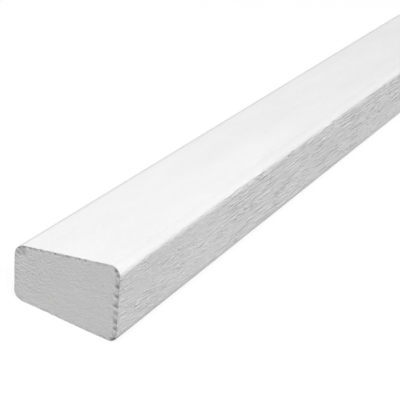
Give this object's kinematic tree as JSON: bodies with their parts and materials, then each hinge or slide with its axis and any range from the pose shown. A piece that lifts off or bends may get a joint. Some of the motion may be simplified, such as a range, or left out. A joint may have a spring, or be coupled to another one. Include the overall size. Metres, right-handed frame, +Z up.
{
  "type": "glazing bead",
  "caption": "Long solid hardwood glazing bead, primed white, with a sloped top and eased edges, pinned into a window rebate to hold the pane.",
  "frame": {"origin": "middle of the length, at the middle of the flat face that lies on the rebate", "axes": "+X along the length, +Y across the rebate away from the pane, +Z up from the rebate face"},
  "size_m": [2.4, 0.025, 0.017],
  "materials": {
    "primed_hardwood": "satin white primer over moulded hardwood, with sawn ends"
  },
  "bodies": {
    "root": {"glazing_bead": "primed_hardwood"}
  },
  "joints": []
}
